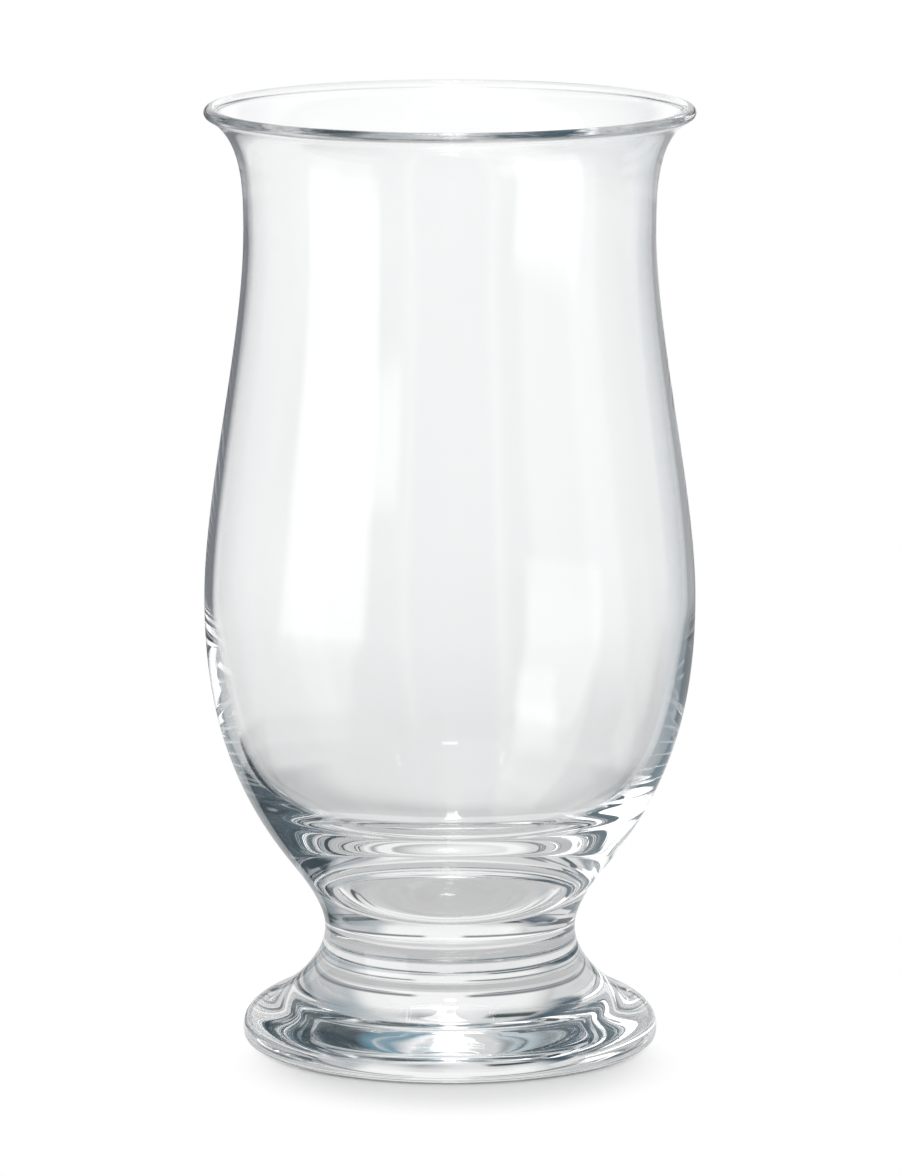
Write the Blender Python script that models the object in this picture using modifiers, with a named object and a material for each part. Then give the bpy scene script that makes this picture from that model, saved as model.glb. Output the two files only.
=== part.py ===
"""Footed beer glass in clear glass, built from the three pieces that are fused to make it.

A blown bowl with a beaded lip, a short solid stem and a conical foot stand on one axis. One outer
contour falls from the lip to the standing edge, and each piece takes the stretch between its seams.
Lengths are in metres, +Z is up and the glass stands on z = 0, centred on the origin.
"""

import math
from dataclasses import dataclass

import bpy

OBJECT_NAME = "footed_beer_glass"

# Lip
GLASS_HEIGHT = 0.160
RIM_RADIUS = 0.04135
BEAD_RADIUS = 0.00103
LIP_FLARE = math.radians(61.5)

# Outside of the bowl
NECK_RADIUS = 0.03477
NECK_HEIGHT = 0.1388
BELLY_RADIUS = 0.04162
BELLY_HEIGHT = 0.0763
CONE_RADIUS = 0.02726
CONE_HEIGHT = 0.0312
CONE_LEAN = math.radians(38.7)

# Inside of the bowl
LIP_WALL = 0.0017
NECK_WALL = 0.00085
BELLY_WALL = 0.0013
HEEL_RADIUS = 0.0299
HEEL_RISE = 0.0170
HEEL_LEAN = math.radians(48.2)
BASIN_RADIUS = 0.0181
BASIN_RISE = 0.0066
BASIN_LEAN = math.radians(55.3)
FLOOR_HEIGHT = 0.0249

# Stem and its two fused seams
WAIST_RADIUS = 0.02129
WAIST_HEIGHT = 0.0194
UPPER_SEAM_RISE = 0.0018
LOWER_SEAM_DROP = 0.0050
SEAM_GAP = 0.0003

# Foot
SHOULDER_RADIUS = 0.03057
SHOULDER_HEIGHT = 0.0074
SHOULDER_LEAN = math.radians(65.9)
FOOT_RADIUS = 0.0353
EDGE_HEIGHT = 0.0021
EDGE_ROUND = 0.0013
STANDING_RING_WIDTH = 0.0040
KICK_HEIGHT = 0.0006
KICK_RADIUS = 0.0220

# Handles of each span of the contours, as parts of the chord of the span
LIP_FULLNESS = 0.346
SIDE_FULLNESS = 0.288
BELLY_FULLNESS = 0.365
HEEL_FULLNESS = 0.262
BASIN_FULLNESS = 0.31
CONE_FULLNESS = 0.31
WAIST_FULLNESS = 0.319
EDGE_FULLNESS = 0.398
FLOOR_FULLNESS = 0.39
KICK_FULLNESS = 0.36

TURN_STEPS = 56
LEVEL = math.radians(90.0)


@dataclass(frozen=True)
class Station:
    """A point of a contour and its lean, the angle from straight down and positive outwards."""

    radius: float
    height: float
    lean: float = 0.0


def span(start, end, fullness, pieces):
    """Points after the start on the cubic between two stations, which follows both leans."""
    reach = fullness * math.hypot(end.radius - start.radius, end.height - start.height)
    handles = (
        (start.radius, start.height),
        (start.radius + reach * math.sin(start.lean), start.height - reach * math.cos(start.lean)),
        (end.radius - reach * math.sin(end.lean), end.height + reach * math.cos(end.lean)),
        (end.radius, end.height),
    )
    points = []
    for index in range(1, pieces + 1):
        t = index / pieces
        weights = ((1 - t) ** 3, 3 * t * (1 - t) ** 2, 3 * t * t * (1 - t), t ** 3)
        points.append(tuple(sum(w * h[axis] for w, h in zip(weights, handles)) for axis in (0, 1)))
    return points


def radius_at(contour, height):
    """Radius of a falling contour at a height, on the straight line between its points."""
    for (r0, z0), (r1, z1) in zip(contour, contour[1:]):
        if z1 <= height <= z0:
            return r0 + (r1 - r0) * (z0 - height) / (z0 - z1)
    raise ValueError("the contour does not reach this height")


def stretch(contour, top, bottom):
    """The part of a falling contour between two heights, cut level at both ends."""
    kept = [point for point in contour if bottom + SEAM_GAP < point[1] < top - SEAM_GAP]
    return [(radius_at(contour, top), top)] + kept + [(radius_at(contour, bottom), bottom)]


def lip_station(depth):
    """Station on the bead, at a depth into the wall from the line of its outer side."""
    offset = BEAD_RADIUS - depth
    back = math.sqrt(BEAD_RADIUS ** 2 - offset ** 2)
    return Station(
        RIM_RADIUS - BEAD_RADIUS + offset * math.cos(LIP_FLARE) - back * math.sin(LIP_FLARE),
        GLASS_HEIGHT - BEAD_RADIUS - offset * math.sin(LIP_FLARE) - back * math.cos(LIP_FLARE),
        -LIP_FLARE,
    )


def bead_arc(start, end, pieces):
    """Points between two stations of the bead, over its top from the inside to the outside."""
    centre = (RIM_RADIUS - BEAD_RADIUS, GLASS_HEIGHT - BEAD_RADIUS)
    first = math.atan2(start.height - centre[1], start.radius - centre[0]) % math.tau
    last = math.atan2(end.height - centre[1], end.radius - centre[0])
    angles = [first + (last - first) * index / pieces for index in range(1, pieces)]
    return [
        (centre[0] + BEAD_RADIUS * math.cos(angle), centre[1] + BEAD_RADIUS * math.sin(angle))
        for angle in angles
    ]


def outer_contour():
    """The outside of the whole glass, from the outer side of the lip down to the foot's edge."""
    lip = lip_station(0.0)
    neck = Station(NECK_RADIUS, NECK_HEIGHT)
    belly = Station(BELLY_RADIUS, BELLY_HEIGHT)
    cone = Station(CONE_RADIUS, CONE_HEIGHT, -CONE_LEAN)
    waist = Station(WAIST_RADIUS, WAIST_HEIGHT)
    shoulder = Station(SHOULDER_RADIUS, SHOULDER_HEIGHT, SHOULDER_LEAN)
    edge = Station(FOOT_RADIUS, EDGE_HEIGHT)
    return (
        [(lip.radius, lip.height)]
        + span(lip, neck, LIP_FULLNESS, 6)
        + span(neck, belly, SIDE_FULLNESS, 7)
        + span(belly, cone, BELLY_FULLNESS, 9)
        + span(cone, waist, CONE_FULLNESS, 6)
        + span(waist, shoulder, WAIST_FULLNESS, 7)
        + span(shoulder, edge, EDGE_FULLNESS, 4)
    )


def inner_contour():
    """The inside of the bowl, from the inner side of the lip down to the middle of the floor."""
    lip = lip_station(LIP_WALL)
    neck = Station(NECK_RADIUS - NECK_WALL, NECK_HEIGHT)
    belly = Station(BELLY_RADIUS - BELLY_WALL, BELLY_HEIGHT)
    heel = Station(HEEL_RADIUS, FLOOR_HEIGHT + HEEL_RISE, -HEEL_LEAN)
    basin = Station(BASIN_RADIUS, FLOOR_HEIGHT + BASIN_RISE, -BASIN_LEAN)
    floor = Station(0.0, FLOOR_HEIGHT, -LEVEL)
    return (
        [(lip.radius, lip.height)]
        + span(lip, neck, LIP_FULLNESS, 6)
        + span(neck, belly, SIDE_FULLNESS, 7)
        + span(belly, heel, HEEL_FULLNESS, 8)
        + span(heel, basin, BASIN_FULLNESS, 3)
        + span(basin, floor, FLOOR_FULLNESS, 5)
    )


def bowl_profile(outer, seam):
    """From the middle of the floor up the inside, over the bead and down the outside to the seam."""
    over_lip = bead_arc(lip_station(LIP_WALL), lip_station(0.0), 11)
    bottom = seam + SEAM_GAP / 2
    return inner_contour()[::-1] + over_lip + stretch(outer, outer[0][1], bottom) + [(0.0, bottom)]


def stem_profile(outer, upper_seam, lower_seam):
    """A solid post from the bowl's seam to the foot's seam, with the waist between them."""
    top = upper_seam - SEAM_GAP / 2
    bottom = lower_seam + SEAM_GAP / 2
    return [(0.0, top)] + stretch(outer, top, bottom) + [(0.0, bottom)]


def foot_profile(outer, seam):
    """From the seam down the sloping top, round the edge and under to the level kick."""
    top = seam - SEAM_GAP / 2
    edge = Station(FOOT_RADIUS, EDGE_HEIGHT)
    ring_outside = Station(FOOT_RADIUS - EDGE_ROUND, 0.0, -LEVEL)
    ring_inside = Station(ring_outside.radius - STANDING_RING_WIDTH, 0.0, -LEVEL)
    kick = Station(KICK_RADIUS, KICK_HEIGHT, -LEVEL)
    return (
        [(0.0, top)]
        + stretch(outer, top, EDGE_HEIGHT)
        + span(edge, ring_outside, EDGE_FULLNESS, 3)
        + [(ring_inside.radius, ring_inside.height)]
        + span(ring_inside, kick, KICK_FULLNESS, 5)
        + [(0.0, KICK_HEIGHT)]
    )


def glass_material(name):
    """Clear glass."""
    material = bpy.data.materials.new(name)
    material.use_nodes = True
    shader = material.node_tree.nodes["Principled BSDF"]
    shader.inputs["Base Color"].default_value = (0.93, 0.96, 0.97, 1.0)
    shader.inputs["Roughness"].default_value = 0.02
    shader.inputs["IOR"].default_value = 1.52
    shader.inputs["Transmission Weight"].default_value = 1.0
    return material


def turned_piece(name, profile, collection):
    """One closed piece: a profile in the XZ plane swept once about the Z axis."""
    mesh = bpy.data.meshes.new(name)
    mesh.from_pydata([(r, 0.0, z) for r, z in profile], [(i, i + 1) for i in range(len(profile) - 1)], [])
    mesh.materials.append(glass_material(name + "_glass"))
    piece = bpy.data.objects.new(name, mesh)
    collection.objects.link(piece)
    turn = piece.modifiers.new("turn", "SCREW")
    turn.axis = "Z"
    turn.angle = math.tau
    turn.steps = TURN_STEPS
    turn.render_steps = TURN_STEPS
    turn.use_merge_vertices = True
    turn.merge_threshold = 0.00001
    turn.use_smooth_shade = True
    return piece


def main():
    """Clears the file and builds the bowl, the stem and the foot."""
    for existing in list(bpy.data.objects):
        bpy.data.objects.remove(existing)
    collection = bpy.data.collections.new(OBJECT_NAME)
    bpy.context.scene.collection.children.link(collection)
    outer = outer_contour()
    upper_seam = WAIST_HEIGHT + UPPER_SEAM_RISE
    lower_seam = WAIST_HEIGHT - LOWER_SEAM_DROP
    turned_piece("bowl", bowl_profile(outer, upper_seam), collection)
    turned_piece("stem", stem_profile(outer, upper_seam, lower_seam), collection)
    turned_piece("foot", foot_profile(outer, lower_seam), collection)


main()
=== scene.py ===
"""Footed beer glass in clear glass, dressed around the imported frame.

Three turned pieces, the bowl, the stem and the foot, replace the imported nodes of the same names. Every
surface is a profile in the half plane of radius and height, carried once round the Z axis. Lengths are in
metres, +Z is up and the glass stands on z = 0, as in the frame.
"""

import logging
import math
from dataclasses import dataclass
from enum import Enum

import bpy
import numpy as np
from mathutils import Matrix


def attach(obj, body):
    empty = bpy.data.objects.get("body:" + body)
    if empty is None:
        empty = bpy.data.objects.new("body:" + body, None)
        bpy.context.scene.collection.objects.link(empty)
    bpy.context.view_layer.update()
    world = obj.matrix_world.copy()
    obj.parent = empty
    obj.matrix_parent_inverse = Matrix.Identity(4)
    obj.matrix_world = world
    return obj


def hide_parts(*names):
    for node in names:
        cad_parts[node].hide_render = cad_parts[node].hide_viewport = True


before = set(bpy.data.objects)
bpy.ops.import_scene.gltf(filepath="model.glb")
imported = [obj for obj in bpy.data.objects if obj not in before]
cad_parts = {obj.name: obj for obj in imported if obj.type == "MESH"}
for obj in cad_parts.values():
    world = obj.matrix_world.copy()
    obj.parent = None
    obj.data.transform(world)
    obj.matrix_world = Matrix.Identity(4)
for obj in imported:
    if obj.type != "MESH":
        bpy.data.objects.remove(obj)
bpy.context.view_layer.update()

LOG = logging.getLogger("footed_beer_glass")
IMAGE_HEIGHT = 1176
LEVEL = math.radians(90.0)
HALF_TURN = 180.0
FACES_PASSED = 160
SEARCH_STEPS = 4001
MIX_FIRST, MIX_SECOND, MIX_RESULT = 6, 7, 2
WHITE = (1.0, 1.0, 1.0)

Colour = tuple[float, float, float]


class Slot(Enum):
    """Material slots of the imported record, one for each piece."""

    BOWL = "bowl_glass"
    STEM = "stem_glass"
    FOOT = "foot_glass"


class Face(Enum):
    """Which of a piece's two materials a face takes."""

    POLISHED = 0
    FUSED = 1


# Contours


@dataclass(frozen=True)
class Station:
    """A point of a contour and its lean, the angle from straight down and positive outwards."""

    radius: float
    height: float
    lean: float = 0.0

    def point(self) -> np.ndarray:
        """The station as a pair of radius and height."""
        return np.array([self.radius, self.height])

    def heading(self) -> np.ndarray:
        """Unit vector of the contour's direction at the station."""
        return np.array([math.sin(self.lean), -math.cos(self.lean)])


@dataclass(frozen=True)
class Span:
    """A cubic between two stations, which leaves and meets them along their leans."""

    start: Station
    end: Station
    fullness: float

    def at(self, share: np.ndarray) -> np.ndarray:
        """Points of the span.

        The formula is the cubic of four handles: the start, a point ahead of it along its lean, a point
        before the end along its lean, and the end. The handles' reach is the fullness times the chord.

        Args:
            share: Parameters along the span, from 0 to 1.

        Returns:
            Rows of radius and height.
        """
        first, last = self.start.point(), self.end.point()
        reach = self.fullness * np.linalg.norm(last - first)
        ahead, before = first + reach * self.start.heading(), last - reach * self.end.heading()
        t = np.asarray(share, dtype=float)[:, None]
        u = 1.0 - t
        return u ** 3 * first + 3 * t * u ** 2 * ahead + 3 * t ** 2 * u * before + t ** 3 * last

    def share_at(self, height: float) -> float:
        """Parameter of a falling span where it passes a height."""
        shares = np.linspace(0.0, 1.0, SEARCH_STEPS)
        return float(np.interp(-height, -self.at(shares)[:, 1], shares))


def even_shares(count: int, first: float = 0.0, last: float = 1.0) -> np.ndarray:
    """Evenly spaced parameters after the first one, up to and with the last one."""
    return np.linspace(first, last, count + 1)[1:]


def guarded(shares: np.ndarray, at_start: bool, at_end: bool, guard: float = 0.004) -> np.ndarray:
    """Parameters with one more very close to an end, which keeps the shading straight up to a seam.

    Args:
        shares: Rising parameters of a span.
        at_start: Whether the first end is a seam.
        at_end: Whether the last end is a seam.
        guard: Distance of the added parameter from its end.

    Returns:
        The parameters with the guards in place.
    """
    head = [shares[:1], shares[:1] + guard] if at_start else [shares[:1]]
    tail = [shares[-1:] - guard, shares[-1:]] if at_end else [shares[-1:]]
    return np.concatenate([*head, shares[1:-1], *tail])


# Turned pieces


@dataclass(frozen=True)
class TurnedMesh:
    """A closed surface of revolution about the Z axis.

    The profile starts and ends on the axis. A point at parameter i of the profile and angle a of the turn
    is (radius_i cos a, radius_i sin a, height_i).
    """

    name: str
    profile: np.ndarray
    fused_rows: tuple[int, ...]
    turns: int = 288

    def build(self) -> bpy.types.Object:
        """Makes the mesh object.

        Quads join neighbouring rings, and a fan of triangles closes each pole. A face row listed in
        fused_rows lies on a seam, stays flat and takes the second material.

        Returns:
            The object, linked to the scene and without materials.
        """
        rings, turns = len(self.profile) - 2, self.turns
        angle = np.arange(turns) * (math.tau / turns)
        radius, height = self.profile[1:-1, 0:1], self.profile[1:-1, 1:2]
        level = np.broadcast_to(height, (rings, turns))
        body = np.stack([radius * np.cos(angle), radius * np.sin(angle), level], axis=-1).reshape(-1, 3)
        poles = np.array([[0.0, 0.0, self.profile[0, 1]], [0.0, 0.0, self.profile[-1, 1]]])
        points = np.concatenate([body, poles])

        ring, here = np.meshgrid(np.arange(rings - 1), np.arange(turns), indexing="ij")
        ahead = (here + 1) % turns
        upper, lower = ring * turns, (ring + 1) * turns
        quads = np.stack([upper + here, lower + here, lower + ahead, upper + ahead], axis=-1).reshape(-1, 4)
        one, two = np.arange(turns), (np.arange(turns) + 1) % turns
        last = (rings - 1) * turns
        first_fan = np.stack([np.full(turns, rings * turns), one, two], axis=1)
        last_fan = np.stack([np.full(turns, rings * turns + 1), last + two, last + one], axis=1)

        corners = np.concatenate([first_fan.ravel(), quads.ravel(), last_fan.ravel()])
        sizes = np.concatenate([np.full(turns, 3), np.full(len(quads), 4), np.full(turns, 3)])
        rows = np.repeat(np.arange(rings + 1), turns)
        fused = np.isin(rows, [row % (rings + 1) for row in self.fused_rows])

        mesh = bpy.data.meshes.new(self.name)
        mesh.vertices.add(len(points))
        mesh.vertices.foreach_set("co", points.ravel())
        mesh.loops.add(len(corners))
        mesh.loops.foreach_set("vertex_index", corners)
        mesh.polygons.add(len(sizes))
        mesh.polygons.foreach_set("loop_start", np.concatenate([[0], np.cumsum(sizes)[:-1]]))
        mesh.polygons.foreach_set(
            "material_index", np.where(fused, Face.FUSED.value, Face.POLISHED.value)
        )
        mesh.polygons.foreach_set("use_smooth", ~fused)
        mesh.update(calc_edges=True)
        mesh.validate()
        piece = bpy.data.objects.new(self.name, mesh)
        bpy.context.scene.collection.objects.link(piece)
        return piece


def claim(piece: bpy.types.Object, node: str) -> None:
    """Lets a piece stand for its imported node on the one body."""
    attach(piece, "root")
    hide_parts(node)


# Finishes


def value_node(tree: bpy.types.NodeTree, operation: str, *operands: object) -> bpy.types.NodeSocket:
    """Adds a Math node.

    Args:
        tree: The tree that takes the node.
        operation: Name of the operation.
        operands: Sockets to link or numbers to set, in order.

    Returns:
        The result's socket.
    """
    node = tree.nodes.new("ShaderNodeMath")
    node.operation = operation
    for socket, operand in zip(node.inputs, operands):
        if isinstance(operand, bpy.types.NodeSocket):
            tree.links.new(operand, socket)
        else:
            socket.default_value = operand
    return node.outputs[0]


def smooth_range(
    tree: bpy.types.NodeTree,
    value: bpy.types.NodeSocket,
    low: object,
    high: object,
    start: float,
    end: float,
) -> bpy.types.NodeSocket:
    """Adds a smooth step from one result to another.

    Args:
        tree: The tree that takes the node.
        value: The value that is mapped.
        low: Where the step begins, a number or a socket.
        high: Where the step ends, a number or a socket.
        start: The result before the step.
        end: The result after the step.

    Returns:
        The result's socket.
    """
    node = tree.nodes.new("ShaderNodeMapRange")
    node.interpolation_type = "SMOOTHSTEP"
    tree.links.new(value, node.inputs["Value"])
    for name, operand in (("From Min", low), ("From Max", high), ("To Min", start), ("To Max", end)):
        if isinstance(operand, bpy.types.NodeSocket):
            tree.links.new(operand, node.inputs[name])
        else:
            node.inputs[name].default_value = operand
    return node.outputs["Result"]


def mixed_colour(
    tree: bpy.types.NodeTree, mask: bpy.types.NodeSocket, first: object, second: object
) -> bpy.types.NodeSocket:
    """Adds a mix of two colours.

    Args:
        tree: The tree that takes the node.
        mask: Share of the second colour.
        first: A colour or a socket.
        second: A colour or a socket.

    Returns:
        The result's socket.
    """
    node = tree.nodes.new("ShaderNodeMix")
    node.data_type = "RGBA"
    tree.links.new(mask, node.inputs["Factor"])
    for socket, colour in ((node.inputs[MIX_FIRST], first), (node.inputs[MIX_SECOND], second)):
        if isinstance(colour, bpy.types.NodeSocket):
            tree.links.new(colour, socket)
        else:
            socket.default_value = (*colour, 1.0)
    return node.outputs[MIX_RESULT]


@dataclass(frozen=True)
class FirePolish:
    """The shared look of fire polished glass: a drifting tint, faint smears and a slow ripple."""

    cloud_detail: float = 2.0
    cloud_range: tuple[float, float] = (0.35, 0.65)
    smear_detail: float = 4.0
    smear_twist: float = 0.6
    smear_range: tuple[float, float] = (0.58, 0.80)
    ripple_scale: float = 55.0
    ripple_detail: float = 0.0

    def group(self) -> bpy.types.NodeTree:
        """Builds the look as a node group.

        The colour drifts between two tints with a broad cloud. The roughness rises in faint smears. The
        height is a slow ripple, as hot glass keeps from blowing and turning.

        Returns:
            The group, with the inputs Tint, Shade, Cloud Scale, Smear Scale, Polish and Smear, and the
            outputs Colour, Roughness and Height.
        """
        group = bpy.data.node_groups.new("fire_polished_glass", "ShaderNodeTree")
        for way, kind, names in (
            ("INPUT", "NodeSocketColor", ("Tint", "Shade")),
            ("INPUT", "NodeSocketFloat", ("Cloud Scale", "Smear Scale", "Polish", "Smear")),
            ("OUTPUT", "NodeSocketColor", ("Colour",)),
            ("OUTPUT", "NodeSocketFloat", ("Roughness", "Height")),
        ):
            for name in names:
                group.interface.new_socket(name, in_out=way, socket_type=kind)
        given = group.nodes.new("NodeGroupInput").outputs
        result = group.nodes.new("NodeGroupOutput").inputs
        place = group.nodes.new("ShaderNodeTexCoord").outputs["Object"]

        cloud = self.noise(group, place, self.cloud_detail)
        group.links.new(given["Cloud Scale"], cloud.inputs["Scale"])
        drift = smooth_range(group, cloud.outputs["Fac"], *self.cloud_range, 0.0, 1.0)
        group.links.new(mixed_colour(group, drift, given["Tint"], given["Shade"]), result["Colour"])

        smear = self.noise(group, place, self.smear_detail)
        smear.inputs["Distortion"].default_value = self.smear_twist
        group.links.new(given["Smear Scale"], smear.inputs["Scale"])
        film = smooth_range(group, smear.outputs["Fac"], *self.smear_range, 0.0, 1.0)
        added = value_node(group, "MULTIPLY", film, given["Smear"])
        group.links.new(value_node(group, "ADD", added, given["Polish"]), result["Roughness"])

        ripple = self.noise(group, place, self.ripple_detail)
        ripple.inputs["Scale"].default_value = self.ripple_scale
        group.links.new(ripple.outputs["Fac"], result["Height"])
        return group

    def noise(
        self, group: bpy.types.NodeTree, place: bpy.types.NodeSocket, detail: float
    ) -> bpy.types.ShaderNode:
        """Adds a noise pattern on Object coordinates, with the detail given."""
        node = group.nodes.new("ShaderNodeTexNoise")
        node.inputs["Detail"].default_value = detail
        group.links.new(place, node.inputs["Vector"])
        return node


@dataclass(frozen=True)
class ClearGlass:
    """Clear fire polished glass with a faint cool tint in the thick parts."""

    tint: Colour = (0.992, 0.994, 0.994)
    shade: Colour = (0.980, 0.984, 0.985)
    refraction: float = 1.52
    cloud_scale: float = 18.0
    smear_scale: float = 45.0
    polish: float = 0.0
    smear: float = 0.004
    ripple_depth: float = 0.00002

    def material(self, name: str, group: bpy.types.NodeTree) -> bpy.types.Material:
        """Makes the glass of one piece.

        Args:
            name: Name of the material.
            group: The shared surface group.

        Returns:
            The material.
        """
        material = bpy.data.materials.new(name)
        material.use_nodes = True
        tree = material.node_tree
        shader = tree.nodes["Principled BSDF"]
        shader.inputs["IOR"].default_value = self.refraction
        shader.inputs["Transmission Weight"].default_value = 1.0
        surface = tree.nodes.new("ShaderNodeGroup")
        surface.node_tree = group
        for name, value in (
            ("Tint", (*self.tint, 1.0)), ("Shade", (*self.shade, 1.0)), ("Cloud Scale", self.cloud_scale),
            ("Smear Scale", self.smear_scale), ("Polish", self.polish), ("Smear", self.smear),
        ):
            surface.inputs[name].default_value = value
        bump = tree.nodes.new("ShaderNodeBump")
        bump.inputs["Strength"].default_value = 1.0
        bump.inputs["Distance"].default_value = self.ripple_depth
        tree.links.new(surface.outputs["Height"], bump.inputs["Height"])
        tree.links.new(surface.outputs["Colour"], shader.inputs["Base Color"])
        tree.links.new(surface.outputs["Roughness"], shader.inputs["Roughness"])
        tree.links.new(bump.outputs["Normal"], shader.inputs["Normal"])
        return material


@dataclass(frozen=True)
class FusedSeam:
    """The level face where two pieces were fused: glass meets glass there, so light goes straight on."""

    clear: Colour = WHITE

    def material(self, name: str) -> bpy.types.Material:
        """Makes a face that neither bends nor reflects light."""
        material = bpy.data.materials.new(name)
        material.use_nodes = True
        tree = material.node_tree
        tree.nodes.clear()
        through = tree.nodes.new("ShaderNodeBsdfTransparent")
        through.inputs["Color"].default_value = (*self.clear, 1.0)
        output = tree.nodes.new("ShaderNodeOutputMaterial")
        tree.links.new(through.outputs[0], output.inputs["Surface"])
        return material


# The three pieces


@dataclass
class Stem:
    """The short solid post between bowl and foot, with the waist and the two fused seams."""

    waist_radius: float = 0.02129
    waist_height: float = 0.0194
    upper_seam_rise: float = 0.0018
    lower_seam_drop: float = 0.0050
    rows: int = 33
    glass: ClearGlass = ClearGlass(cloud_scale=26.0)

    def waist(self) -> Station:
        """The narrowest point of the outside."""
        return Station(self.waist_radius, self.waist_height)

    def upper_seam(self) -> float:
        """Height of the seam with the bowl."""
        return self.waist_height + self.upper_seam_rise

    def lower_seam(self) -> float:
        """Height of the seam with the foot."""
        return self.waist_height - self.lower_seam_drop

    def build(self, cone: Span, flare: Span) -> bpy.types.Object:
        """Makes the post from the contour's stretch between the two seams.

        Args:
            cone: The contour's span from the bowl's cone to the waist.
            flare: The contour's span from the waist to the foot's shoulder.

        Returns:
            The piece.
        """
        above = guarded(np.linspace(cone.share_at(self.upper_seam()), 1.0, self.rows), True, False)
        below = guarded(even_shares(self.rows, 0.0, flare.share_at(self.lower_seam())), False, True)
        side = np.concatenate([cone.at(above), flare.at(below)])
        profile = np.concatenate([[[0.0, side[0, 1]]], side, [[0.0, side[-1, 1]]]])
        piece = TurnedMesh("stem_turned", profile, fused_rows=(0, -1)).build()
        claim(piece, "stem")
        return piece

    def dress(self, piece: bpy.types.Object, group: bpy.types.NodeTree) -> None:
        """Gives the post its glass and its seam faces."""
        piece.data.materials.append(self.glass.material("stem_clear_glass", group))
        piece.data.materials.append(FusedSeam().material("stem_fused_seam"))


@dataclass
class Foot:
    """The solid conical foot, with a rounded edge, a standing ring and a shallow kick below."""

    shoulder_radius: float = 0.03057
    shoulder_height: float = 0.0074
    shoulder_lean: float = math.radians(65.9)
    radius: float = 0.0353
    edge_height: float = 0.0021
    edge_round: float = 0.0013
    standing_ring_width: float = 0.0040
    kick_height: float = 0.0006
    kick_radius: float = 0.0220
    flare_fullness: float = 0.319
    edge_fullness: float = 0.398
    kick_fullness: float = 0.36
    flare_rows: int = 49
    shoulder_rows: int = 40
    edge_rows: int = 24
    ring_rows: int = 8
    kick_rows: int = 40
    level_rows: int = 8
    glass: ClearGlass = ClearGlass(cloud_scale=22.0)

    def shoulder(self) -> Station:
        """Where the flare of the foot turns over towards its edge."""
        return Station(self.shoulder_radius, self.shoulder_height, self.shoulder_lean)

    def flare(self, waist: Station) -> Span:
        """The contour's span from the waist to the shoulder."""
        return Span(waist, self.shoulder(), self.flare_fullness)

    def build(self, stem: Stem) -> bpy.types.Object:
        """Makes the foot from the lower seam to the middle of the kick.

        Args:
            stem: The stem that stands on the foot.

        Returns:
            The piece.
        """
        flare = self.flare(stem.waist())
        edge = Station(self.radius, self.edge_height)
        ring_outside = Station(self.radius - self.edge_round, 0.0, -LEVEL)
        ring_inside = Station(ring_outside.radius - self.standing_ring_width, 0.0, -LEVEL)
        kick = Station(self.kick_radius, self.kick_height, -LEVEL)
        below_seam = np.linspace(flare.share_at(stem.lower_seam()), 1.0, self.flare_rows)
        ring = even_shares(self.ring_rows, ring_outside.radius, ring_inside.radius)
        level = even_shares(self.level_rows, self.kick_radius, 0.0)
        side = np.concatenate([
            flare.at(guarded(below_seam, True, False)),
            Span(self.shoulder(), edge, self.edge_fullness).at(even_shares(self.shoulder_rows)),
            Span(edge, ring_outside, self.edge_fullness).at(even_shares(self.edge_rows)),
            np.stack([ring, np.zeros_like(ring)], axis=1),
            Span(ring_inside, kick, self.kick_fullness).at(even_shares(self.kick_rows)),
            np.stack([level, np.full_like(level, self.kick_height)], axis=1),
        ])
        profile = np.concatenate([[[0.0, side[0, 1]]], side])
        piece = TurnedMesh("foot_turned", profile, fused_rows=(0,)).build()
        claim(piece, "foot")
        return piece

    def dress(self, piece: bpy.types.Object, group: bpy.types.NodeTree) -> None:
        """Gives the foot its glass and its seam face."""
        piece.data.materials.append(self.glass.material("foot_clear_glass", group))
        piece.data.materials.append(FusedSeam().material("foot_fused_seam"))


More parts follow.
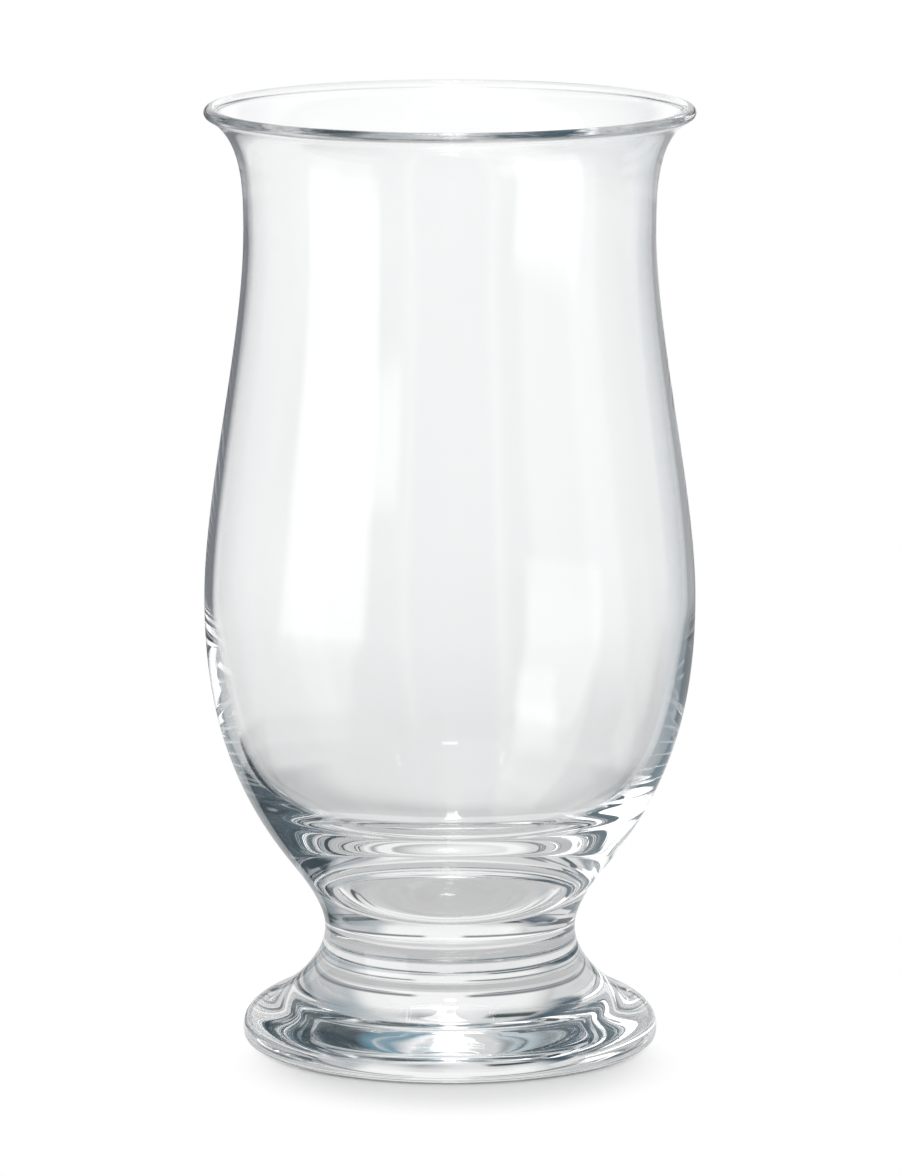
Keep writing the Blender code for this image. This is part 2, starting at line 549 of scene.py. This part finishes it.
@dataclass
class Bowl:
    """The blown bowl, with a beaded lip, a flared mouth, a neck, a belly and a heavy solid bottom."""

    height: float = 0.160
    rim_radius: float = 0.04135
    bead_radius: float = 0.00103
    lip_flare: float = math.radians(61.5)
    neck_radius: float = 0.03477
    neck_height: float = 0.1388
    belly_radius: float = 0.04162
    belly_height: float = 0.0763
    cone_radius: float = 0.02726
    cone_height: float = 0.0312
    cone_lean: float = math.radians(38.7)
    lip_wall: float = 0.0017
    neck_wall: float = 0.00085
    belly_wall: float = 0.0013
    heel_radius: float = 0.0299
    heel_rise: float = 0.0170
    heel_lean: float = math.radians(48.2)
    basin_radius: float = 0.0181
    basin_rise: float = 0.0066
    basin_lean: float = math.radians(55.3)
    floor_height: float = 0.0249
    lip_fullness: float = 0.346
    side_fullness: float = 0.288
    belly_fullness: float = 0.365
    heel_fullness: float = 0.262
    cone_fullness: float = 0.31
    basin_fullness: float = 0.31
    floor_fullness: float = 0.39
    bead_rows: int = 33
    lip_rows: int = 22
    side_rows: int = 34
    belly_rows: int = 48
    cone_rows: int = 20
    heel_rows: int = 40
    basin_rows: int = 28
    floor_rows: int = 40
    glass: ClearGlass = ClearGlass()

    def lip_station(self, depth: float) -> Station:
        """Station on the bead, at a depth into the wall from the line of its outer side."""
        offset = self.bead_radius - depth
        back = math.sqrt(self.bead_radius ** 2 - offset ** 2)
        sine, cosine = math.sin(self.lip_flare), math.cos(self.lip_flare)
        return Station(
            self.rim_radius - self.bead_radius + offset * cosine - back * sine,
            self.height - self.bead_radius - offset * sine - back * cosine,
            -self.lip_flare,
        )

    def cone(self, waist: Station) -> Span:
        """The contour's span from the cone under the belly to the waist."""
        under_belly = Station(self.cone_radius, self.cone_height, -self.cone_lean)
        return Span(under_belly, waist, self.cone_fullness)

    def inside(self) -> np.ndarray:
        """The inner side, from the bead down to the middle of the floor, as five spans in a row."""
        lip = self.lip_station(self.lip_wall)
        neck = Station(self.neck_radius - self.neck_wall, self.neck_height)
        belly = Station(self.belly_radius - self.belly_wall, self.belly_height)
        heel = Station(self.heel_radius, self.floor_height + self.heel_rise, -self.heel_lean)
        basin = Station(self.basin_radius, self.floor_height + self.basin_rise, -self.basin_lean)
        floor = Station(0.0, self.floor_height, -LEVEL)
        return np.concatenate([
            lip.point()[None],
            Span(lip, neck, self.lip_fullness).at(even_shares(self.lip_rows)),
            Span(neck, belly, self.side_fullness).at(even_shares(self.side_rows)),
            Span(belly, heel, self.heel_fullness).at(even_shares(self.heel_rows)),
            Span(heel, basin, self.basin_fullness).at(even_shares(self.basin_rows)),
            Span(basin, floor, self.floor_fullness).at(even_shares(self.floor_rows)),
        ])

    def over_bead(self) -> np.ndarray:
        """The bead's round top: points on a circle from the inner side of the lip to the outer side."""
        centre = np.array([self.rim_radius - self.bead_radius, self.height - self.bead_radius])
        start = self.lip_station(self.lip_wall).point() - centre
        end = self.lip_station(0.0).point() - centre
        first = math.atan2(start[1], start[0]) % math.tau
        last = math.atan2(end[1], end[0])
        angle = even_shares(self.bead_rows, first, last)[:-1]
        return centre + self.bead_radius * np.stack([np.cos(angle), np.sin(angle)], axis=1)

    def outside(self, stem: Stem) -> np.ndarray:
        """The outer side, from the bead down to the seam with the stem, as four spans in a row."""
        lip = self.lip_station(0.0)
        neck = Station(self.neck_radius, self.neck_height)
        belly = Station(self.belly_radius, self.belly_height)
        cone = self.cone(stem.waist())
        last = cone.share_at(stem.upper_seam())
        return np.concatenate([
            lip.point()[None],
            Span(lip, neck, self.lip_fullness).at(even_shares(self.lip_rows)),
            Span(neck, belly, self.side_fullness).at(even_shares(self.side_rows)),
            Span(belly, cone.start, self.belly_fullness).at(even_shares(self.belly_rows)),
            cone.at(guarded(even_shares(self.cone_rows, 0.0, last), False, True)),
        ])

    def build(self, stem: Stem) -> bpy.types.Object:
        """Makes the bowl from the middle of the floor, over the bead and down to the seam.

        Args:
            stem: The stem that carries the bowl.

        Returns:
            The piece.
        """
        outside = self.outside(stem)
        profile = np.concatenate([
            self.inside()[::-1], self.over_bead(), outside, [[0.0, outside[-1, 1]]],
        ])
        piece = TurnedMesh("bowl_blown", profile, fused_rows=(-1,)).build()
        claim(piece, "bowl")
        return piece

    def dress(self, piece: bpy.types.Object, group: bpy.types.NodeTree) -> None:
        """Gives the bowl its glass and its seam face."""
        piece.data.materials.append(self.glass.material("bowl_clear_glass", group))
        piece.data.materials.append(FusedSeam().material("bowl_fused_seam"))


# Studio


@dataclass(frozen=True)
class Panel:
    """A soft edged card, light or patch of painted shade in the studio, as it is seen from the middle of the
    glass.

    Azimuth is measured from +Y, the way the camera looks, and is positive to the right. Elevation is
    negative on the floor. Angles are in degrees.
    """

    name: str
    azimuth: float
    elevation: float
    half_width: float
    half_height: float
    softness: float
    colour: Colour


def new_group(name: str, inputs: tuple[str, ...], output: str, kind: str) -> bpy.types.NodeTree:
    """Starts a node group whose inputs are plain numbers.

    Args:
        name: Name of the group.
        inputs: Names of the number sockets.
        output: Name of the one output.
        kind: Socket type of the output.

    Returns:
        The group, with its sockets and without nodes.
    """
    group = bpy.data.node_groups.new(name, "ShaderNodeTree")
    for label in inputs:
        group.interface.new_socket(label, in_out="INPUT", socket_type="NodeSocketFloat")
    group.interface.new_socket(output, in_out="OUTPUT", socket_type=kind)
    return group


def panel_group() -> bpy.types.NodeTree:
    """The mask of a soft edged panel, as a node group built once.

    The mask is the product of two smooth steps, one of the distance in azimuth and one in elevation.

    Returns:
        The group, with the inputs Azimuth, Elevation, Centre Azimuth, Centre Elevation, Half Width, Half
        Height and Softness, and the output Mask.
    """
    inputs = (
        "Azimuth", "Elevation", "Centre Azimuth", "Centre Elevation", "Half Width", "Half Height", "Softness",
    )
    group = new_group("studio_panel", inputs, "Mask", "NodeSocketFloat")
    given = group.nodes.new("NodeGroupInput").outputs
    result = group.nodes.new("NodeGroupOutput")
    turn = value_node(group, "SUBTRACT", given["Azimuth"], given["Centre Azimuth"])
    across = value_node(group, "ABSOLUTE", value_node(group, "WRAP", turn, HALF_TURN, -HALF_TURN))
    upward = value_node(
        group, "ABSOLUTE", value_node(group, "SUBTRACT", given["Elevation"], given["Centre Elevation"])
    )
    masks = []
    for distance, half in ((across, given["Half Width"]), (upward, given["Half Height"])):
        low = value_node(group, "SUBTRACT", half, given["Softness"])
        high = value_node(group, "ADD", half, given["Softness"])
        masks.append(smooth_range(group, distance, low, high, 1.0, 0.0))
    group.links.new(value_node(group, "MULTIPLY", *masks), result.inputs["Mask"])
    return group


class Passage(Enum):
    """How many faces of glass a ray passes on its way straight through."""

    ONE_WALL = 2
    TWO_WALLS = 4


class Counting(Enum):
    """How many steps Ray Depth is ahead of the faces that a ray met: one more on its way to the world."""

    AT_SURFACE = 0
    AT_WORLD = 1


def straight_through(
    tree: bpy.types.NodeTree, rays: object, passage: Passage, counting: Counting
) -> bpy.types.NodeSocket:
    """Finds the rays that only passed faces of glass and were never reflected.

    Args:
        tree: The tree that takes the nodes.
        rays: Output sockets of its Light Path node.
        passage: The fewest faces that count.
        counting: Where the tree is evaluated.

    Returns:
        A socket that is 1 for such a ray and 0 for any other.
    """
    half_step = 0.5
    passed = value_node(tree, "GREATER_THAN", rays["Transmission Depth"], passage.value - half_step)
    turned_back = value_node(tree, "SUBTRACT", rays["Ray Depth"], rays["Transmission Depth"])
    never = value_node(tree, "LESS_THAN", turned_back, counting.value + half_step)
    return value_node(tree, "MULTIPLY", passed, never)


@dataclass
class Studio:
    """White ground, soft light all round, and the cards, lights and painted shade that the glass shows.

    Walls and floor share one plan, laid out by azimuth and elevation round the middle of the glass. Panels
    are put up in order, each over the ones before. Rays that came straight through the glass see the white
    ground instead, as the camera does beside the glass.
    """

    wall: Colour = (0.67, 0.68, 0.68)
    soft_light: float = 1.05
    paper: Colour = (0.93, 0.93, 0.93)
    eye_height: float = 0.08
    floor_radius: float = 30.0
    floor_turns: int = 96
    floor_drop: float = 0.0002
    shadow_centre: tuple[float, float, float] = (0.001, -0.020, 0.0)
    shadow_ends: float = 0.022
    white_starts: float = 0.039
    # painted shade: the ground seen straight through the glass is darkest near the foot and rises to white
    # outwards
    painted_shade_ground: Colour = (0.62, 0.62, 0.62)
    middle_ground: Colour = (0.92, 0.92, 0.92)
    far_ground: Colour = (1.08, 1.08, 1.08)
    shade_rise: tuple[float, float] = (-47.0, -33.0)
    far_rise: tuple[float, float] = (-25.0, -2.0)
    ground_starts: tuple[float, float] = (-46.0, -34.0)
    ground_ends: tuple[float, float] = (4.0, 10.0)
    mouth_view: tuple[float, float] = (0.12, 0.16)
    panels: tuple[Panel, ...] = (
        Panel("left_wall", -67.0, 37.5, 36.0, 32.5, 7.5, (0.04, 0.08, 0.11)),
        Panel("right_wall", 45.5, 2.0, 18.5, 36.0, 14.0, (0.34, 0.40, 0.44)),
        Panel("right_front", 108.0, 13.0, 45.0, 60.0, 9.0, (0.05, 0.07, 0.08)),
        Panel("front", -168.5, 3.0, 33.0, 60.0, 3.0, (0.10, 0.15, 0.18)),
        Panel("table", 0.0, -85.0, 181.0, 30.5, 1.0, (0.87, 0.87, 0.87)),
        Panel("table_left", -112.5, -46.0, 66.0, 15.0, 1.0, (0.05, 0.06, 0.07)),
        # painted shadow: the floor under the foot, as the glass shows it, is darker
        Panel("foot_shade", 0.0, -84.0, 181.0, 18.5, 1.5, (0.56, 0.56, 0.56)),
        Panel("backdrop", 6.0, 19.5, 14.0, 60.0, 8.0, (1.00, 1.00, 1.00)),
        Panel("right_low", 102.0, 2.5, 10.0, 25.5, 3.0, (0.41, 0.44, 0.47)),
        Panel("front_right", 138.0, 13.5, 15.5, 25.5, 4.0, (0.08, 0.11, 0.13)),
        Panel("backdrop_top", 8.0, 32.0, 7.0, 5.5, 14.0, (0.06, 0.07, 0.08)),
        Panel("left_back", -44.5, -6.5, 17.0, 23.5, 1.5, (0.70, 0.71, 0.71)),
        Panel("right_back", 40.0, 9.0, 12.0, 10.0, 4.0, (0.57, 0.58, 0.59)),
        Panel("backdrop_low", 0.0, 10.0, 23.0, 13.0, 5.0, (0.95, 0.95, 0.95)),
        Panel("left_gap", -20.0, 32.0, 9.0, 3.5, 2.0, (0.05, 0.06, 0.06)),
        Panel("right_horizon", 36.0, 3.0, 28.0, 2.2, 1.4, (0.22, 0.24, 0.25)),
        Panel("left_horizon", -32.0, 3.0, 28.0, 2.2, 1.4, (0.22, 0.24, 0.25)),
        Panel("left_edge", -22.0, -9.0, 15.0, 9.0, 3.0, (0.20, 0.21, 0.23)),
        Panel("right_edge", 24.0, -9.0, 12.0, 9.0, 3.0, (0.38, 0.39, 0.40)),
        Panel("right_high", 85.0, 73.0, 80.0, 6.0, 3.0, (0.15, 0.29, 0.37)),
        Panel("left_top", -95.0, 73.0, 45.0, 5.0, 3.0, (0.45, 0.55, 0.60)),
        Panel("softbox", -118.5, 12.0, 22.0, 24.0, 3.0, (1.70, 1.70, 1.70)),
        Panel("ceiling", 0.0, 90.0, 181.0, 7.0, 2.0, (1.20, 1.20, 1.20)),
        Panel("lamp", -10.0, 81.0, 30.0, 4.5, 0.7, (9.00, 9.00, 9.00)),
        Panel("front_top", 180.0, 69.5, 9.0, 2.0, 0.7, (6.00, 6.00, 6.00)),
        Panel("front_glint", 141.0, -28.0, 9.0, 6.0, 3.0, (1.40, 1.40, 1.40)),
    )

    def surroundings_group(self) -> bpy.types.NodeTree:
        """The plan of the studio as a node group, which the walls and the floor share.

        The white ground's tone rises from a painted shade at the foot outwards, and it ends just over the
        horizon.

        Returns:
            The group, with the inputs Azimuth and Elevation in degrees and Clear, the share of a ray that
            came straight through the glass, and the output Colour.
        """
        group = new_group("studio_plan", ("Azimuth", "Elevation", "Clear"), "Colour", "NodeSocketColor")
        given = group.nodes.new("NodeGroupInput").outputs
        result = group.nodes.new("NodeGroupOutput")
        mask = panel_group()
        colour = self.wall
        for panel in self.panels:
            colour = self.pinned(group, mask, given, panel, colour)
        # painted shade of the ground round the foot, rising to white further out
        shade_rise = smooth_range(group, given["Elevation"], *self.shade_rise, 0.0, 1.0)
        far_rise = smooth_range(group, given["Elevation"], *self.far_rise, 0.0, 1.0)
        ground = mixed_colour(group, shade_rise, self.painted_shade_ground, self.middle_ground)
        ground = mixed_colour(group, far_rise, ground, self.far_ground)
        starts = smooth_range(group, given["Elevation"], *self.ground_starts, 0.0, 1.0)
        ends = smooth_range(group, given["Elevation"], *self.ground_ends, 1.0, 0.0)
        shown = value_node(group, "MULTIPLY", given["Clear"], value_node(group, "MULTIPLY", starts, ends))
        group.links.new(mixed_colour(group, shown, colour, ground), result.inputs["Colour"])
        return group

    def pinned(
        self,
        group: bpy.types.NodeTree,
        mask: bpy.types.NodeTree,
        given: object,
        panel: Panel,
        below: object,
    ) -> bpy.types.NodeSocket:
        """Lays one panel over what is there already.

        Args:
            group: The plan's group.
            mask: The panel mask group.
            given: Output sockets of the plan's Group Input.
            panel: The card, light or painted shade.
            below: The colour under it, a socket or a plain colour.

        Returns:
            The colour's socket.
        """
        node = group.nodes.new("ShaderNodeGroup")
        node.node_tree = mask
        node.label = panel.name
        group.links.new(given["Azimuth"], node.inputs["Azimuth"])
        group.links.new(given["Elevation"], node.inputs["Elevation"])
        for name, value in (
            ("Centre Azimuth", panel.azimuth), ("Centre Elevation", panel.elevation),
            ("Half Width", panel.half_width), ("Half Height", panel.half_height),
            ("Softness", panel.softness),
        ):
            node.inputs[name].default_value = value
        return mixed_colour(group, node.outputs["Mask"], below, panel.colour)

    def build_world(self, plan: bpy.types.NodeTree) -> None:
        """Hangs the plan on the walls.

        Only rays that left the glass see it. The camera sees white, and the floor gets an even light.

        Args:
            plan: The studio's plan.
        """
        world = bpy.data.worlds.new("studio")
        bpy.context.scene.world = world
        world.use_nodes = True
        tree = world.node_tree
        tree.nodes.clear()
        direction = tree.nodes.new("ShaderNodeSeparateXYZ")
        tree.links.new(tree.nodes.new("ShaderNodeTexCoord").outputs["Generated"], direction.inputs[0])
        x, y, z = direction.outputs
        walls = tree.nodes.new("ShaderNodeGroup")
        walls.node_tree = plan
        turn, rise = value_node(tree, "ARCTAN2", x, y), value_node(tree, "ARCSINE", z)
        tree.links.new(value_node(tree, "DEGREES", turn), walls.inputs["Azimuth"])
        tree.links.new(value_node(tree, "DEGREES", rise), walls.inputs["Elevation"])
        rays = tree.nodes.new("ShaderNodeLightPath").outputs
        two_walls = straight_through(tree, rays, Passage.TWO_WALLS, Counting.AT_WORLD)
        tree.links.new(two_walls, walls.inputs["Clear"])
        in_glass = value_node(tree, "MAXIMUM", rays["Is Glossy Ray"], rays["Is Transmission Ray"])
        shown = mixed_colour(tree, in_glass, (self.soft_light,) * 3, walls.outputs["Colour"])
        seen = mixed_colour(tree, rays["Is Camera Ray"], shown, WHITE)
        background = tree.nodes.new("ShaderNodeBackground")
        output = tree.nodes.new("ShaderNodeOutputWorld")
        tree.links.new(seen, background.inputs["Color"])
        tree.links.new(background.outputs[0], output.inputs["Surface"])

    def build_floor(self, plan: bpy.types.NodeTree) -> bpy.types.Object:
        """Makes the pale floor, a disc whose shading keeps the shadow and turns white further out.

        Args:
            plan: The studio's plan.

        Returns:
            The staged floor.
        """
        angle = np.arange(self.floor_turns) * (math.tau / self.floor_turns)
        level = np.full(self.floor_turns, -self.floor_drop)
        points = np.stack(
            [self.floor_radius * np.cos(angle), self.floor_radius * np.sin(angle), level], axis=1
        )
        mesh = bpy.data.meshes.new("studio_floor")
        mesh.from_pydata(points.tolist(), [], [list(range(self.floor_turns))])
        floor = bpy.data.objects.new("studio_floor", mesh)
        bpy.context.scene.collection.objects.link(floor)
        mesh.materials.append(self.floor_material(plan))
        return floor

    def floor_material(self, plan: bpy.types.NodeTree) -> bpy.types.Material:
        """Pale matt paper that turns to white ground for the eye, and to the plan's tones, painted shade
        included, in the glass.

        Args:
            plan: The studio's plan.

        Returns:
            The material.
        """
        material = bpy.data.materials.new("pale_paper")
        material.use_nodes = True
        material.cycles.emission_sampling = "NONE"
        tree = material.node_tree
        tree.nodes.clear()
        place = tree.nodes.new("ShaderNodeTexCoord").outputs["Object"]
        axes = tree.nodes.new("ShaderNodeSeparateXYZ")
        tree.links.new(place, axes.inputs[0])
        x, y, _ = axes.outputs
        away = tree.nodes.new("ShaderNodeVectorMath")
        away.operation = "LENGTH"
        tree.links.new(place, away.inputs[0])
        radius = away.outputs["Value"]
        turn = value_node(tree, "ARCTAN2", x, y)
        dip = value_node(tree, "ARCTAN2", -self.eye_height, radius)
        ground = tree.nodes.new("ShaderNodeGroup")
        ground.node_tree = plan
        tree.links.new(value_node(tree, "DEGREES", turn), ground.inputs["Azimuth"])
        tree.links.new(value_node(tree, "DEGREES", dip), ground.inputs["Elevation"])
        rays = tree.nodes.new("ShaderNodeLightPath").outputs
        two_walls = straight_through(tree, rays, Passage.TWO_WALLS, Counting.AT_SURFACE)
        one_wall = straight_through(tree, rays, Passage.ONE_WALL, Counting.AT_SURFACE)
        far_off = smooth_range(tree, radius, *self.mouth_view, 0.0, 1.0)
        mouth = value_node(tree, "MULTIPLY", one_wall, far_off)
        tree.links.new(value_node(tree, "MAXIMUM", two_walls, mouth), ground.inputs["Clear"])
        in_glass = value_node(tree, "MAXIMUM", rays["Is Glossy Ray"], rays["Is Transmission Ray"])
        from_shadow = tree.nodes.new("ShaderNodeVectorMath")
        from_shadow.operation = "DISTANCE"
        tree.links.new(place, from_shadow.inputs[0])
        from_shadow.inputs[1].default_value = self.shadow_centre
        shade = from_shadow.outputs["Value"]
        fade = smooth_range(tree, shade, self.shadow_ends, self.white_starts, 0.0, 1.0)
        to_eye = value_node(tree, "MULTIPLY", fade, rays["Is Camera Ray"])
        paper = tree.nodes.new("ShaderNodeBsdfDiffuse")
        paper.inputs["Color"].default_value = (*self.paper, 1.0)
        white = tree.nodes.new("ShaderNodeEmission")
        tone = mixed_colour(tree, in_glass, WHITE, ground.outputs["Colour"])
        tree.links.new(tone, white.inputs["Color"])
        mix = tree.nodes.new("ShaderNodeMixShader")
        output = tree.nodes.new("ShaderNodeOutputMaterial")
        tree.links.new(value_node(tree, "MAXIMUM", to_eye, in_glass), mix.inputs[0])
        tree.links.new(paper.outputs[0], mix.inputs[1])
        tree.links.new(white.outputs[0], mix.inputs[2])
        tree.links.new(mix.outputs[0], output.inputs["Surface"])
        return material


@dataclass(frozen=True)
class PhotoCamera:
    """The camera of the photograph: in front of the glass, above it and looking slightly down."""

    distance: float = 1.3029
    height: float = 0.30544
    pitch: float = math.radians(9.908)
    focal_pixels: float = 7805.13
    sensor: float = 36.0
    near_clip: float = 0.01

    def build(self) -> None:
        """Places the camera in the plane x = 0 and makes it the scene's own."""
        data = bpy.data.cameras.new("photo_camera")
        data.sensor_width = self.sensor
        data.lens = self.focal_pixels / IMAGE_HEIGHT * self.sensor
        data.clip_start = self.near_clip
        camera = bpy.data.objects.new("photo_camera", data)
        bpy.context.scene.collection.objects.link(camera)
        camera.location = (0.0, -self.distance, self.height)
        camera.rotation_euler = (LEVEL - self.pitch, 0.0, 0.0)
        bpy.context.scene.camera = camera


def set_light_paths() -> None:
    """Lets light pass the many faces of the thick glass, and keeps colours as they are written."""
    scene = bpy.context.scene
    scene.view_settings.view_transform = "Standard"
    scene.cycles.max_bounces = FACES_PASSED
    scene.cycles.transmission_bounces = FACES_PASSED
    scene.cycles.glossy_bounces = FACES_PASSED
    scene.cycles.transparent_max_bounces = FACES_PASSED


def main() -> None:
    """Builds the camera, the studio and the three pieces, and reports each piece."""
    logging.basicConfig(level=logging.INFO, format="%(name)s: %(message)s")
    set_light_paths()
    PhotoCamera().build()
    studio = Studio()
    plan = studio.surroundings_group()
    studio.build_world(plan)
    studio.build_floor(plan)
    group = FirePolish().group()
    stem, foot, bowl = Stem(), Foot(), Bowl()
    pieces = (
        (bowl, bowl.build(stem)),
        (stem, stem.build(bowl.cone(stem.waist()), foot.flare(stem.waist()))),
        (foot, foot.build(stem)),
    )
    for part, piece in pieces:
        part.dress(piece, group)
        LOG.info("%s: %d faces", piece.name, len(piece.data.polygons))


if __name__ == "__main__":
    main()
